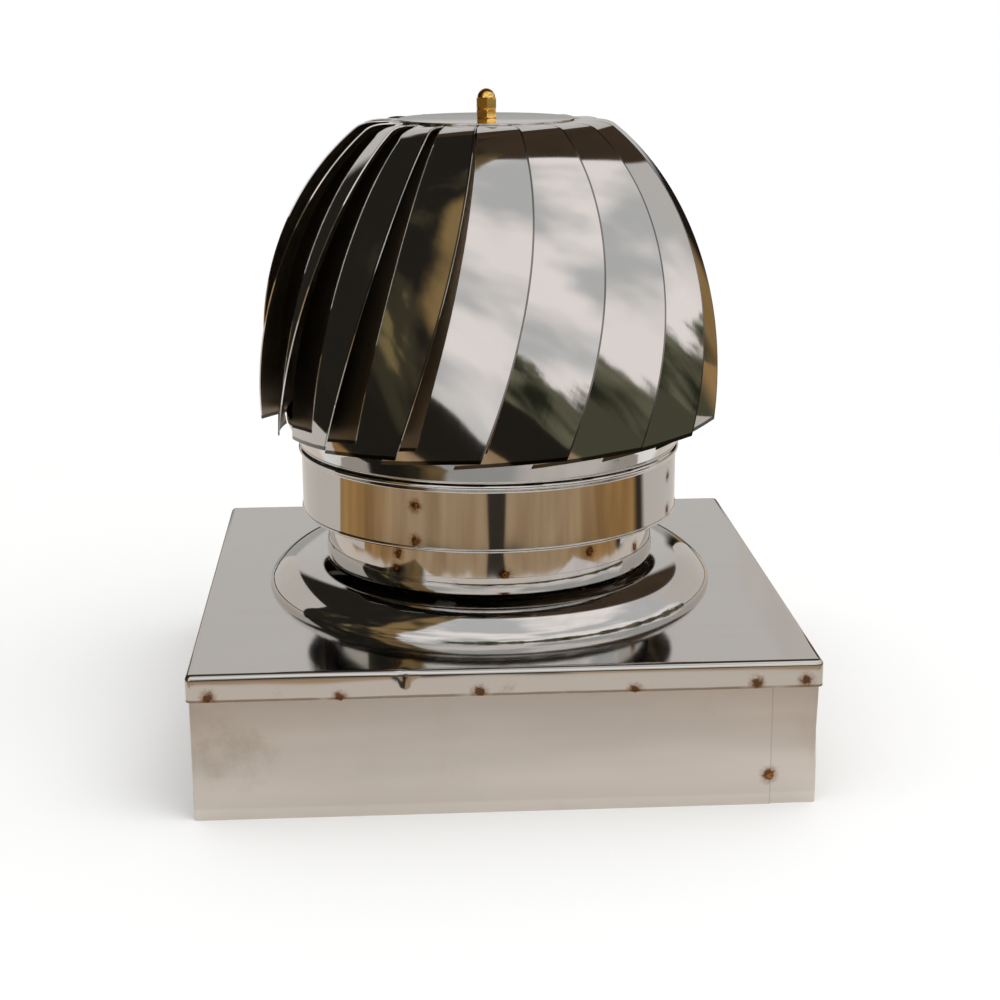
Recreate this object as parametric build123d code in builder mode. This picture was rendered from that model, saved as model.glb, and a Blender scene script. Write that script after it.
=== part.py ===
from build123d import *
import math
import os

os.makedirs("parts", exist_ok=True)

# Driving dimensions in millimetres, +Z up, front towards -Y, origin under the middle of the base.

# Square base: a folded skirt under a lid with a turned-down rim.
lid_side = 400.0
base_height = 97.0
rim_height = 17.0
sheet = 0.8
rim_clearance = 0.3
rim_bend = 3.0
corner_bend = 3.2
seam_inset = 30.0
lap_width = 35.0
lap_clearance = 0.1

# Fixed neck with the bulged cover ring round its foot.
neck_radius = 115.5
neck_height = 91.0
neck_flange = 14.0
neck_clearance = 0.2
flare_radius = 158.0
flare_rise = 27.0
flare_bend = 14.0
flare_upstand = 6.0

# Turning head: skirt ring, blades and crown disc.
ring_radius = 132.6
ring_lap = 35.5
ring_wall_height = 46.0
ring_hem = 2.2
ring_bead_height = 4.0
ring_bead_size = 2.0
ring_mouth_flare = 9.8
ring_mouth_rise = 17.5
ring_mouth_band = 7.0
blade_count = 18
dome_overhang = 18.6
dome_lift = 22.0
dome_rise = 203.5
dome_fullness = 2.1
crown_share = 0.8688
crown_azimuth = 12.0
crown_lean = 55.0
crown_depth = 5.0
crown_overlap = 3.0
blade_sweep = 17.0
blade_bow = 0.45
foot_lap = 4.0
foot_drop = 8.0
foot_overlap = 20.0
foot_clearance = 0.5
blade_stations = 7
fold_width = 24.0
disc_sheet = 1.2
tab_margin = 2.0
tab_length = 17.0
tab_gap = 1.0

# Bearing parts on the axis.
spindle_radius = 6.0
bush_wall = 3.0
bush_length = 14.0
bush_lip = 3.0
running_clearance = 0.05
housing_wall = 3.0
housing_lift = 11.0
housing_length = 68.0
collar_radius = 9.0
collar_height = 4.0
spindle_end_radius = 5.0
stud_radius = 4.0
arm_count = 4
neck_arm_azimuth = -39.0
neck_arm_height = 24.0
neck_arm_sheet = 3.0
neck_arm_foot = 16.0
spider_azimuth = -24.5
spider_sheet = 2.0
spider_width = 20.0
spider_hub_radius = 22.0
spider_tab = 40.0
spider_clearance = 6.0
hub_radius = 12.0
hub_height = 12.0
washer_radius = 20.0
washer_height = 3.0
nut_across_flats = 13.0
lock_nut_height = 6.3
cap_nut_height = 13.5
cap_dome_radius = 6.0
cap_bore_depth = 9.0
retaining_nut_across_flats = 15.0
retaining_nut_height = 8.0

# Worked-out sizes.
half_lid = lid_side / 2
half_skirt = half_lid - sheet - rim_clearance
inner_skirt = half_skirt - sheet
skirt_bend = corner_bend - sheet
lid_underside = base_height - sheet
skirt_height = base_height - rim_bend
lap_offset = sheet + lap_clearance
seam_x = half_skirt - seam_inset
lap_end_x = seam_x - lap_width
neck_inner = neck_radius - sheet
neck_top = base_height + neck_height
collar_inner = neck_radius + neck_clearance
collar_outer = collar_inner + sheet
flare_top = base_height + flare_rise
flare_reach = flare_radius - collar_outer
crown_bend = flare_reach**2 + flare_rise**2 - 2 * flare_reach * flare_bend
crown_bend = crown_bend / (2 * (flare_rise - flare_bend))
foot_middle = (flare_radius - flare_bend, base_height)
crown_middle = (collar_outer, flare_top - crown_bend)
flare_turn = math.degrees(math.atan2(crown_bend - flare_rise, flare_reach - flare_bend))
ring_inner = ring_radius - sheet
ring_bottom = neck_top - ring_lap
ring_shoulder = ring_bottom + ring_wall_height
ring_mouth = ring_shoulder + ring_mouth_rise
ring_top = ring_mouth + ring_mouth_band
ring_mouth_radius = ring_radius + ring_mouth_flare
dome_radius = ring_mouth_radius + dome_overhang
dome_waist = ring_top + dome_lift
crown_z = dome_waist + dome_rise * crown_share
foot_z = ring_top - foot_lap
pitch = 360.0 / blade_count
crown_angle = math.acos(crown_share)
foot_angle = math.acos((foot_z - dome_waist) / dome_rise)
foot_share = abs(math.cos(foot_angle)) ** dome_fullness
foot_radius = dome_radius * (1 - foot_share) ** (1 / dome_fullness)
foot_depth = foot_radius - ring_mouth_radius - foot_clearance - sheet
crown_radius = dome_radius * (1 - crown_share**dome_fullness) ** (1 / dome_fullness)
disc_radius = crown_radius - fold_width
tab_root = disc_radius + tab_margin
tab_end = disc_radius - tab_length + tab_margin
disc_top = crown_z + disc_sheet
bush_bore = spindle_radius + running_clearance
bush_outer = spindle_radius + bush_wall
housing_outer = bush_outer + housing_wall
housing_bottom = base_height + housing_lift
housing_top = housing_bottom + housing_length
bush_lip_radius = bush_outer + bush_lip / 2
journal_bottom = housing_bottom - bush_lip
journal_top = housing_top + bush_lip
arm_pitch = 360.0 / arm_count
neck_arm_z = housing_bottom + housing_length / 2 - neck_arm_height / 2
spider_z = neck_top + spider_clearance
washer_bottom = crown_z - washer_height
stud_top = disc_top + lock_nut_height + cap_bore_depth


def polar(radius, azimuth, height):
    """A point at an azimuth counted from the front, positive towards +X."""
    turn = math.radians(azimuth)
    return Vector(radius * math.sin(turn), -radius * math.cos(turn), height)


def dome_lean(share):
    """How far the dome's surface looks upwards; share runs from the crown fold (0) to the foot (1)."""
    return math.radians(crown_lean) * (1 - share) ** 1.5


def dome_point(share, azimuth, depth):
    """A point below the dome's envelope, measured square to its surface."""
    climb = math.cos(crown_angle + share * (foot_angle - crown_angle))
    reach = dome_radius * (1 - abs(climb) ** dome_fullness) ** (1 / dome_fullness)
    lean = dome_lean(share)
    height = dome_waist + dome_rise * climb
    return polar(reach - depth * math.cos(lean), azimuth, height - depth * math.sin(lean))


def blade_row(share, edge_azimuth):
    """Outer edge, middle and inner edge of a blade at one station of its length."""
    depth = crown_depth + share * (foot_depth - crown_depth)
    overlap = crown_overlap + share * (foot_overlap - crown_overlap)
    start = edge_azimuth - blade_sweep * share**2
    edge = dome_point(share, start, 0)
    reach = math.hypot(edge.X, edge.Y)
    width = pitch + math.degrees(overlap / reach)
    far = dome_point(share, start - width, depth) - Vector(0, 0, foot_drop * share**2)
    lean = dome_lean(share)
    bulge = blade_bow * (far - edge).length ** 2 * math.cos(lean) / (8 * reach)
    middle = (edge + far) * 0.5 + polar(math.cos(lean), start - width / 2, math.sin(lean)) * bulge
    return edge, middle, far


def blade_section(share, edge_azimuth):
    """Plane, outer and inner arc of a blade at one station, square to the way the sheet runs there."""
    edge, middle, far = blade_row(share, edge_azimuth)
    chord = (far - edge).length / 2
    bulge = (middle - (edge + far) * 0.5).length
    bend = (chord**2 + bulge**2) / (2 * bulge)
    centre = middle - (middle - (edge + far) * 0.5) * (bend / bulge)
    plane = Plane(origin=edge, x_dir=far - edge, z_dir=(middle - edge).cross(far - edge))
    inside = [centre + (point - centre) * (1 - sheet / bend) for point in (far, middle, edge)]
    return plane, [plane.to_local_coords(point) for point in (edge, middle, far, *inside)]


def tab_section(radius, edge_azimuth):
    """Plane and straight outline of a blade's flat tab under the crown disc."""
    gap = math.degrees(tab_gap / tab_root)
    edge = polar(radius, edge_azimuth - gap / 2, crown_z)
    far = polar(radius, edge_azimuth - pitch + gap / 2, crown_z)
    down = Vector(0, 0, -sheet)
    plane = Plane(origin=edge, x_dir=far - edge, z_dir=polar(-1, edge_azimuth - pitch / 2, 0))
    points = (edge, (edge + far) * 0.5, far, far + down, (edge + far) * 0.5 + down, edge + down)
    return plane, [plane.to_local_coords(point) for point in points]


# Base skirt: one folded strip whose ends lap near the right front corner.
with BuildPart() as base_skirt:
    with BuildSketch():
        with BuildLine():
            lap_y = lap_offset - half_skirt
            outside = FilletPolyline(
                (seam_x, -half_skirt),
                (-half_skirt, -half_skirt),
                (-half_skirt, half_skirt),
                (half_skirt, half_skirt),
                (half_skirt, lap_y),
                (lap_end_x, lap_y),
                radius=skirt_bend,
            )
            inside = FilletPolyline(
                (seam_x, -inner_skirt),
                (-inner_skirt, -inner_skirt),
                (-inner_skirt, inner_skirt),
                (inner_skirt, inner_skirt),
                (inner_skirt, lap_y + sheet),
                (lap_end_x, lap_y + sheet),
                radius=skirt_bend - sheet,
            )
            Line(outside @ 0, inside @ 0)
            Line(outside @ 1, inside @ 1)
        make_face()
    extrude(amount=skirt_height)
base_skirt.part.label = "base_skirt"
export_step(base_skirt.part, "parts/base_skirt.step")

# Base lid: a shallow tray turned over, with the neck's hole in it.
with BuildPart() as base_lid:
    with BuildSketch(Plane.XY.offset(base_height - rim_height)):
        RectangleRounded(lid_side, lid_side, corner_bend)
    extrude(amount=rim_height)
    fillet(base_lid.faces().sort_by(Axis.Z)[-1].edges(), radius=rim_bend)
    offset(amount=-sheet, openings=base_lid.faces().sort_by(Axis.Z)[0])
    with BuildSketch(Plane.XY.offset(lid_underside)):
        Circle(collar_inner)
    extrude(amount=sheet, mode=Mode.SUBTRACT)
base_lid.part.label = "base_lid"
export_step(base_lid.part, "parts/base_lid.step")

# Flare collar: a bulged spun ring with a short upstand against the neck.
with BuildPart() as flare_collar:
    with BuildSketch(Plane.XZ):
        with BuildLine():
            foot_arc = CenterArc(foot_middle, flare_bend, 0, flare_turn)
            crown_arc = CenterArc(crown_middle, crown_bend, flare_turn, 90 - flare_turn)
            inner_foot = CenterArc(foot_middle, flare_bend - sheet, 0, flare_turn)
            inner_crown = CenterArc(crown_middle, crown_bend - sheet, flare_turn, 90 - flare_turn)
            Line(foot_arc @ 0, inner_foot @ 0)
            Polyline(
                crown_arc @ 1,
                (collar_outer, flare_top + flare_upstand),
                (collar_inner, flare_top + flare_upstand),
                (collar_inner, flare_top - sheet),
                inner_crown @ 1,
            )
        make_face()
    revolve(axis=Axis.Z)
flare_collar.part.label = "flare_collar"
export_step(flare_collar.part, "parts/flare_collar.step")

# Neck tube with the flange that lies under the lid.
with BuildPart() as neck_tube:
    with BuildSketch(Plane.XZ):
        with BuildLine():
            Polyline(
                (neck_inner, lid_underside - sheet),
                (neck_radius + neck_flange, lid_underside - sheet),
                (neck_radius + neck_flange, lid_underside),
                (neck_radius, lid_underside),
                (neck_radius, neck_top),
                (neck_inner, neck_top),
                close=True,
            )
        make_face()
    revolve(axis=Axis.Z)
neck_tube.part.label = "neck_tube"
export_step(neck_tube.part, "parts/neck_tube.step")

# Bearing housing: a tube that holds a bush at each end.
with BuildPart() as bearing_housing:
    with Locations((0, 0, housing_bottom)):
        Cylinder(housing_outer, housing_length, align=(Align.CENTER, Align.CENTER, Align.MIN))
        Cylinder(
            bush_outer,
            housing_length,
            align=(Align.CENTER, Align.CENTER, Align.MIN),
            mode=Mode.SUBTRACT,
        )
bearing_housing.part.label = "bearing_housing"
export_step(bearing_housing.part, "parts/bearing_housing.step")

# Upper bush, its lip on the housing's top edge.
with BuildPart() as upper_bush:
    with BuildSketch(Plane.XZ):
        with BuildLine():
            Polyline(
                (bush_bore, housing_top - bush_length),
                (bush_outer, housing_top - bush_length),
                (bush_outer, housing_top),
                (bush_lip_radius, housing_top),
                (bush_lip_radius, journal_top),
                (bush_bore, journal_top),
                close=True,
            )
        make_face()
    revolve(axis=Axis.Z)
upper_bush.part.label = "upper_bush"
export_step(upper_bush.part, "parts/upper_bush.step")

# Lower bush, its lip under the housing's bottom edge.
with BuildPart() as lower_bush:
    with BuildSketch(Plane.XZ):
        with BuildLine():
            Polyline(
                (bush_bore, journal_bottom),
                (bush_lip_radius, journal_bottom),
                (bush_lip_radius, housing_bottom),
                (bush_outer, housing_bottom),
                (bush_outer, housing_bottom + bush_length),
                (bush_bore, housing_bottom + bush_length),
                close=True,
            )
        make_face()
    revolve(axis=Axis.Z)
lower_bush.part.label = "lower_bush"
export_step(lower_bush.part, "parts/lower_bush.step")

# Neck arms: flat bars on edge from the housing to a bent foot on the neck wall.
for number in range(1, arm_count + 1):
    with BuildPart() as neck_arm:
        with BuildSketch(Plane.XY.offset(neck_arm_z)):
            with Locations((neck_inner / 2, 0)):
                Rectangle(neck_inner, neck_arm_sheet)
            with Locations((neck_inner - neck_arm_sheet / 2, neck_arm_foot / 2)):
                Rectangle(neck_arm_sheet * 2, neck_arm_foot)
            Circle(neck_inner, mode=Mode.INTERSECT)
            Circle(housing_outer, mode=Mode.SUBTRACT)
        extrude(amount=neck_arm_height)
    arm_turn = neck_arm_azimuth + (number - 1) * arm_pitch - 90
    arm = neck_arm.part.rotate(Axis.Z, arm_turn)
    arm.label = f"neck_arm_{number}"
    export_step(arm, f"parts/neck_arm_{number}.step")

# Spindle: turned bar with a thrust collar, a reduced lower end and a stud at the crown.
with BuildPart() as spindle:
    with BuildSketch(Plane.XZ):
        with BuildLine():
            Polyline(
                (0, journal_bottom - retaining_nut_height),
                (spindle_end_radius, journal_bottom - retaining_nut_height),
                (spindle_end_radius, journal_bottom),
                (spindle_radius, journal_bottom),
                (spindle_radius, journal_top),
                (collar_radius, journal_top),
                (collar_radius, journal_top + collar_height),
                (spindle_radius, journal_top + collar_height),
                (spindle_radius, washer_bottom),
                (stud_radius, washer_bottom),
                (stud_radius, stud_top),
                (0, stud_top),
                close=True,
            )
        make_face()
    revolve(axis=Axis.Z)
spindle.part.label = "spindle"
export_step(spindle.part, "parts/spindle.step")

# Retaining nut under the lower bush.
with BuildPart() as retaining_nut:
    with BuildSketch(Plane.XY.offset(journal_bottom - retaining_nut_height)):
        RegularPolygon(retaining_nut_across_flats / 2, 6, major_radius=False)
        Circle(spindle_end_radius, mode=Mode.SUBTRACT)
    extrude(amount=retaining_nut_height)
retaining_nut.part.label = "retaining_nut"
export_step(retaining_nut.part, "parts/retaining_nut.step")

# Ring spider: flat cross over the neck with feet turned down inside the skirt ring.
with BuildPart() as ring_spider:
    with BuildSketch(Plane.XY.offset(spider_z)):
        Circle(spider_hub_radius)
        with PolarLocations(0, arm_count, start_angle=spider_azimuth - 90):
            with Locations((ring_inner / 2, 0)):
                Rectangle(ring_inner * 1.1, spider_width)
        Circle(ring_inner, mode=Mode.INTERSECT)
        Circle(spindle_radius, mode=Mode.SUBTRACT)
    extrude(amount=spider_sheet)
    with BuildSketch(Plane.XY.offset(spider_z)):
        with PolarLocations(0, arm_count, start_angle=spider_azimuth - 90):
            with Locations((ring_inner, 0)):
                Rectangle(spider_width, spider_width)
        Circle(ring_inner, mode=Mode.INTERSECT)
        Circle(ring_inner - spider_sheet, mode=Mode.SUBTRACT)
    extrude(amount=spider_sheet - spider_tab)
ring_spider.part.label = "ring_spider"
export_step(ring_spider.part, "parts/ring_spider.step")

# Hub collar that locks the spider to the spindle.
with BuildPart() as hub_collar:
    with BuildSketch(Plane.XY.offset(spider_z + spider_sheet)):
        Circle(hub_radius)
        Circle(spindle_radius, mode=Mode.SUBTRACT)
    extrude(amount=hub_height)
hub_collar.part.label = "hub_collar"
export_step(hub_collar.part, "parts/hub_collar.step")

# Skirt ring: rolled band with a hemmed lower edge, a bead and a mouth that widens to the blades.
with BuildPart() as skirt_ring:
    with BuildSketch(Plane.XZ):
        with BuildLine():
            bead_low = ring_shoulder - ring_bead_height
            Polyline(
                (ring_inner, ring_bottom),
                (ring_radius + sheet, ring_bottom),
                (ring_radius + sheet, ring_bottom + ring_hem),
                (ring_radius, ring_bottom + ring_hem),
                (ring_radius, bead_low - ring_bead_size / 2),
                (ring_radius + ring_bead_size, bead_low + ring_bead_size / 2),
                (ring_radius + ring_bead_size, ring_shoulder - ring_bead_size / 2),
                (ring_radius, ring_shoulder + ring_bead_size / 2),
                (ring_mouth_radius, ring_mouth),
                (ring_mouth_radius, ring_top),
                (ring_mouth_radius - sheet, ring_top),
                (ring_mouth_radius - sheet, ring_mouth),
                (ring_inner, ring_shoulder + ring_bead_size / 2),
                close=True,
            )
        make_face()
    revolve(axis=Axis.Z)
skirt_ring.part.label = "skirt_ring"
export_step(skirt_ring.part, "parts/skirt_ring.step")

# Blades: tapered curved sheets swept round the dome, each outer edge lapping over its right neighbour.
with BuildPart() as blade:
    shares = [station / (blade_stations - 1) for station in range(blade_stations)]
    body = [blade_section(share, crown_azimuth) for share in shares]
    for plane, outline in body:
        with BuildSketch(plane):
            with BuildLine():
                ThreePointArc(*outline[:3])
                Line(outline[2], outline[3])
                ThreePointArc(*outline[3:])
                Line(outline[5], outline[0])
            make_face()
    loft()
    with BuildSketch(body[0][0]):
        with BuildLine():
            outline = body[0][1]
            ThreePointArc(*outline[:3])
            Line(outline[2], outline[3])
            ThreePointArc(*outline[3:])
            Line(outline[5], outline[0])
        make_face()
    for plane, outline in [tab_section(tab_root, crown_azimuth), tab_section(tab_end, crown_azimuth)]:
        with BuildSketch(plane):
            with BuildLine():
                Polyline(outline[0], outline[2], outline[3], outline[5], close=True)
            make_face()
    loft(ruled=True)
for number in range(1, blade_count + 1):
    turned_blade = blade.part.rotate(Axis.Z, (number - 1) * pitch)
    turned_blade.label = f"blade_{number:02d}"
    export_step(turned_blade, f"parts/blade_{number:02d}.step")

# Crown disc on top of the blade tabs.
with BuildPart() as crown_disc:
    with BuildSketch(Plane.XY.offset(crown_z)):
        Circle(disc_radius)
        Circle(stud_radius, mode=Mode.SUBTRACT)
    extrude(amount=disc_sheet)
crown_disc.part.label = "crown_disc"
export_step(crown_disc.part, "parts/crown_disc.step")

# Backing washer between the spindle's shoulder and the crown disc.
with BuildPart() as backing_washer:
    with BuildSketch(Plane.XY.offset(washer_bottom)):
        Circle(washer_radius)
        Circle(stud_radius, mode=Mode.SUBTRACT)
    extrude(amount=washer_height)
backing_washer.part.label = "backing_washer"
export_step(backing_washer.part, "parts/backing_washer.step")

# Brass lock nut on the crown disc.
with BuildPart() as lock_nut:
    with BuildSketch(Plane.XY.offset(disc_top)):
        RegularPolygon(nut_across_flats / 2, 6, major_radius=False)
        Circle(stud_radius, mode=Mode.SUBTRACT)
    extrude(amount=lock_nut_height)
lock_nut.part.label = "lock_nut"
export_step(lock_nut.part, "parts/lock_nut.step")

# Brass cap nut: a hexagon with a domed blind end.
with BuildPart() as cap_nut:
    cap_bottom = disc_top + lock_nut_height
    with BuildSketch(Plane.XY.offset(cap_bottom)):
        RegularPolygon(nut_across_flats / 2, 6, major_radius=False)
    extrude(amount=cap_nut_height - cap_dome_radius)
    with Locations((0, 0, cap_bottom + cap_nut_height - cap_dome_radius)):
        Sphere(cap_dome_radius)
    with BuildSketch(Plane.XY.offset(cap_bottom)):
        Circle(stud_radius)
    extrude(amount=cap_bore_depth, mode=Mode.SUBTRACT)
cap_nut.part.label = "cap_nut"
export_step(cap_nut.part, "parts/cap_nut.step")
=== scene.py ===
"""Looks of a turning chimney cowl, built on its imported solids."""

import math

import bmesh
import bpy
from bpy.props import FloatProperty, FloatVectorProperty, IntProperty, PointerProperty
from mathutils import Matrix, Vector


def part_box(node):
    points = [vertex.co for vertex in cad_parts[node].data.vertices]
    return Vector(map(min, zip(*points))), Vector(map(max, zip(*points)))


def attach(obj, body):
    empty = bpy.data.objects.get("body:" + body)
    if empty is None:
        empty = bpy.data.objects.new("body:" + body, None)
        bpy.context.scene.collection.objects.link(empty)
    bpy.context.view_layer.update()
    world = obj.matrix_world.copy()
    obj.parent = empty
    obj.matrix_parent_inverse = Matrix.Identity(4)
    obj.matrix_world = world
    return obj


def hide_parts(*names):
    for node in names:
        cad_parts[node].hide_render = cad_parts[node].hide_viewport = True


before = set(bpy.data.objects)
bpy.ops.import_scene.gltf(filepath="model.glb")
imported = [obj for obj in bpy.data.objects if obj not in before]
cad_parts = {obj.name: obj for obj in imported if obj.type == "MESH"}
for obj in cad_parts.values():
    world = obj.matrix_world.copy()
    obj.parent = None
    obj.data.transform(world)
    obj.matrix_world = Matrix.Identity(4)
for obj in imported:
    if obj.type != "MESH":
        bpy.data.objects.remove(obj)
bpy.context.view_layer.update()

bl_info = {
    "name": "Chimney cowl",
    "version": (1, 0, 0),
    "blender": (4, 5, 0),
    "location": "3D View > Sidebar > Cowl",
    "description": "Dresses the solids of a turning chimney cowl",
    "category": "Object",
}

BLADES = sorted(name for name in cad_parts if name.startswith("blade_"))
ARMS = sorted(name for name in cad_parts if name.startswith("neck_arm_"))
RING_SEGMENTS = 288
FRONT = Vector((0, -1, 0))

# Shifts in the blades' map that tell the inner side and the sheet's edges from the outer side
INSIDE_SHIFT = 1.0
EDGE_SHIFT = -0.001


def length(name, description, default):
    """A size in metres."""
    return FloatProperty(name=name, description=description, default=default, precision=5, unit="LENGTH")


def angle(name, description, degrees):
    """An angle that is given in degrees and kept in radians."""
    return FloatProperty(name=name, description=description, default=math.radians(degrees), subtype="ANGLE")


def ratio(name, description, default):
    """A number without a unit."""
    return FloatProperty(name=name, description=description, default=default, min=0, precision=3)


def colour(name, description, default):
    """A colour in linear light."""
    return FloatVectorProperty(
        name=name, description=description, default=default, size=3, min=0, max=1, subtype="COLOR"
    )


class BaseSizes(bpy.types.PropertyGroup):
    """Sizes of the square base, the flare collar and the neck."""

    sheet: length("Sheet", "Thickness of the sheet", 0.0008)
    lid_side: length("Lid side", "Side of the square lid", 2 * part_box("base_lid")[1].x)
    lid_top: length("Lid top", "Height of the lid's flat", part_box("base_lid")[1].z)
    rim_bottom: length("Rim bottom", "Height of the rim's lower edge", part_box("base_lid")[0].z)
    rim_bend: length("Rim bend", "Radius of the fold round the lid", 0.003)
    corner_bend: length("Corner bend", "Radius of the lid's upright corners", 0.0032)
    skirt_side: length("Skirt side", "Side of the skirt", 2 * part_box("base_skirt")[1].x)
    skirt_top: length("Skirt top", "Height of the skirt's upper edge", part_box("base_skirt")[1].z)
    seam_inset: length("Seam inset", "Distance of the seam from the skirt's corner", 0.03)
    lap_width: length("Lap width", "Width of the lap behind the seam", 0.035)
    lap_offset: length("Lap offset", "Depth of the lap behind the front wall", 0.0009)
    neck_radius: length("Neck radius", "Outer radius of the neck", 0.1155)
    neck_clearance: length("Neck clearance", "Gap round the neck in the lid and the flare", 0.0002)
    neck_top: length("Neck top", "Height of the neck's upper edge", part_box("neck_tube")[1].z)
    neck_flange: length("Neck flange", "Radius of the flange under the lid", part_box("neck_tube")[1].x)
    flare_radius: length("Flare radius", "Radius of the flare's foot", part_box("flare_collar")[1].x)
    flare_rise: length("Flare rise", "Height of the flare above the lid", 0.027)
    flare_bend: length("Flare bend", "Radius of the bend at the flare's foot", 0.014)
    flare_upstand: length("Flare upstand", "Height of the flare's upright edge", 0.006)
    dent_place: length("Dent place", "Place of the dent along the front fold", -0.064)
    dent_depth: length("Dent depth", "Depth of the dent in the front fold", 0.0015)


class HeadSizes(bpy.types.PropertyGroup):
    """Sizes of the turning head."""

    ring_radius: length("Ring radius", "Outer radius of the skirt ring", 0.1326)
    ring_bottom: length("Ring bottom", "Height of the ring's lower edge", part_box("skirt_ring")[0].z)
    ring_wall: length("Ring wall", "Height of the ring's upright wall", 0.046)
    ring_hem: length("Ring hem", "Height of the ring's doubled lower edge", 0.0022)
    ring_bead: length("Ring bead", "How far the bead stands out", 0.002)
    mouth_radius: length("Mouth radius", "Radius of the ring's widened mouth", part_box("skirt_ring")[1].x)
    mouth_rise: length("Mouth rise", "Height over which the ring widens", 0.0175)
    ring_top: length("Ring top", "Height of the ring's upper edge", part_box("skirt_ring")[1].z)
    blade_count: IntProperty(name="Blades", description="Number of blades", default=len(BLADES), min=3)
    dome_radius: length("Dome radius", "Radius of the dome at its waist", 0.161)
    dome_waist: length("Dome waist", "Height of the dome's widest line", 0.245)
    dome_rise: length("Dome rise", "Rise of the dome's oval over its waist", 0.2035)
    dome_fullness: ratio("Fullness", "2 is an oval, more is fuller", 2.1)
    crown_height: length("Crown height", "Height of the blades' fold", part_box("crown_disc")[0].z)
    foot_height: length("Foot height", "Height of the blades' outer corners", 0.219)
    foot_drop: length("Foot drop", "How much lower a blade's inner corner hangs", 0.008)
    crown_azimuth: angle("Crown azimuth", "Turn of the first blade's edge at the crown", 12)
    blade_sweep: angle("Blade sweep", "Turn of a blade's edge from crown to foot", 17)
    blade_bow: ratio("Blade bow", "Part of the dome's roundness across a blade", 0.45)
    crown_lean: angle("Crown lean", "Lean of a blade's depth at the crown", 55)
    crown_depth: length("Crown depth", "Depth of a blade's inner edge at the crown", 0.005)
    crown_overlap: length("Crown overlap", "Overlap of the blades at the crown", 0.003)
    foot_overlap: length("Foot overlap", "Overlap of the blades at the foot", 0.020)
    foot_clearance: length("Foot clearance", "Gap between a blade's foot and the ring", 0.0005)
    fold_round: ratio("Fold round", "Part of the fold's run that is rounded", 0.45)
    disc_radius: length("Disc radius", "Radius of the crown disc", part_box("crown_disc")[1].x)
    disc_top: length("Disc top", "Height of the crown disc's upper face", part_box("crown_disc")[1].z)
    tab_margin: length("Tab margin", "How far the tabs show round the disc", 0.002)
    tab_length: length("Tab length", "Length of a blade's tab", 0.017)
    tab_gap: length("Tab gap", "Gap between neighbouring tabs", 0.001)
    stud_radius: length("Stud radius", "Radius of the stud through the nuts", 0.004)
    nut_flats: length("Nut flats", "Width of the nuts across their flats", 0.013)
    cap_dome: length("Cap dome", "Radius of the cap nut's dome", 0.006)
    cap_bore: length("Cap bore", "Depth of the cap nut's blind hole", 0.009)
    weld_size: length("Weld size", "Radius of a tack weld", 0.0021)


class CowlFinishes(bpy.types.PropertyGroup):
    """Colours of the metals."""

    polished: colour("Polished steel", "Mirror-polished sheet", (0.67, 0.655, 0.63))
    lid: colour("Lid steel", "Half-bright sheet of the lid", (0.66, 0.645, 0.62))
    satin: colour("Satin steel", "Dull sheet of the skirt", (0.635, 0.573, 0.518))
    plain: colour("Plain steel", "Bar and strip inside", (0.56, 0.55, 0.53))
    brass: colour("Brass", "The two nuts on the crown", (0.95, 0.60, 0.17))
    bronze: colour("Bronze", "The bushes", (0.52, 0.34, 0.17))
    scorch: colour("Scorch", "Heat colour round the tack welds", (0.24, 0.095, 0.022))


class StageSettings(bpy.types.PropertyGroup):
    """Camera and surroundings."""

    lens: FloatProperty(
        name="Lens", description="Focal length on a 36 mm sensor", default=68.809, unit="CAMERA"
    )
    azimuth: angle("Azimuth", "Turn of the camera from the front", -3.403)
    elevation: angle("Elevation", "Height of the camera over the horizon", 14.985)
    roll: angle("Roll", "Tilt of the camera's frame", -0.305)
    distance: length("Distance", "Distance of the camera", 1.3737)
    aim_right: length("Aim right", "Sideways shift of the camera", 0.00791)
    aim_height: length("Aim height", "Height that the camera looks at", 0.153)
    floor_colour: colour("Floor", "Pale floor", (0.93, 0.93, 0.92))


class Signal:
    """A node's output that takes part in plain arithmetic."""

    def __init__(self, finish, socket):
        self.finish = finish
        self.socket = socket

    def join(self, operation, first, second):
        """The result of a Math node."""
        return self.finish.add("ShaderNodeMath", {"operation": operation}, {0: first, 1: second})[0]

    def __add__(self, other):
        return self.join("ADD", self, other)

    def __radd__(self, other):
        return self.join("ADD", other, self)

    def __sub__(self, other):
        return self.join("SUBTRACT", self, other)

    def __rsub__(self, other):
        return self.join("SUBTRACT", other, self)

    def __mul__(self, other):
        return self.join("MULTIPLY", self, other)

    def __rmul__(self, other):
        return self.join("MULTIPLY", other, self)

    def __truediv__(self, other):
        return self.join("DIVIDE", self, other)

    def __rtruediv__(self, other):
        return self.join("DIVIDE", other, self)

    def __pow__(self, other):
        return self.join("POWER", self, other)

    def __neg__(self):
        return self.join("MULTIPLY", self, -1.0)

    def least(self, other):
        """The smaller of two values."""
        return self.join("MINIMUM", self, other)

    def most(self, other):
        """The larger of two values."""
        return self.join("MAXIMUM", self, other)

    def size(self):
        """The value without its sign."""
        return self.join("ABSOLUTE", self, 0.0)

    def step(self, low, high):
        """0 below low and 1 above high with a smooth rise between; low above high turns it round."""
        sockets = {"Value": self, "From Min": low, "From Max": high}
        return self.finish.add("ShaderNodeMapRange", {"interpolation_type": "SMOOTHSTEP"}, sockets)[0]


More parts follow.
